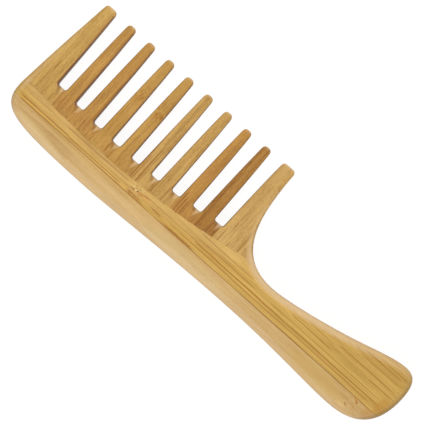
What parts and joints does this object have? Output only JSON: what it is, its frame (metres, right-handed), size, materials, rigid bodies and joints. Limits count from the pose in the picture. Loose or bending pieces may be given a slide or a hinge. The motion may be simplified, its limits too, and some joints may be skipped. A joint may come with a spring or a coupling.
{
  "type": "wide tooth comb",
  "caption": "Flat wide tooth comb with a curved handle, carved from a bamboo laminate of long face strips over an upright stave core.",
  "frame": {"origin": "middle of the comb's length and width, on the plane of its flat rear face", "axes": "+X towards the handle's end, +Y towards the tooth tips, +Z from the rear face to the front face"},
  "size_m": [0.195, 0.0596, 0.01],
  "materials": {
    "back_strip": "satin",
    "grain_strip": "satin",
    "toe_stave": "satin",
    "second_stave": "satin",
    "third_stave": "satin",
    "fourth_stave": "satin",
    "fifth_stave": "satin",
    "neck_stave": "satin",
    "handle_stave": "satin"
  },
  "bodies": {
    "root": {"front_back_strip": "back_strip", "rear_back_strip": "back_strip", "front_grain_strip": "grain_strip", "rear_grain_strip": "grain_strip", "tooth_stave_1": "toe_stave", "tooth_stave_2": "second_stave", "tooth_stave_3": "third_stave", "tooth_stave_4": "fourth_stave", "tooth_stave_5": "fifth_stave", "tooth_stave_6": "neck_stave", "handle_stave_1": "handle_stave", "handle_stave_2": "handle_stave", "handle_stave_3": "handle_stave", "handle_stave_4": "handle_stave"}
  },
  "joints": []
}
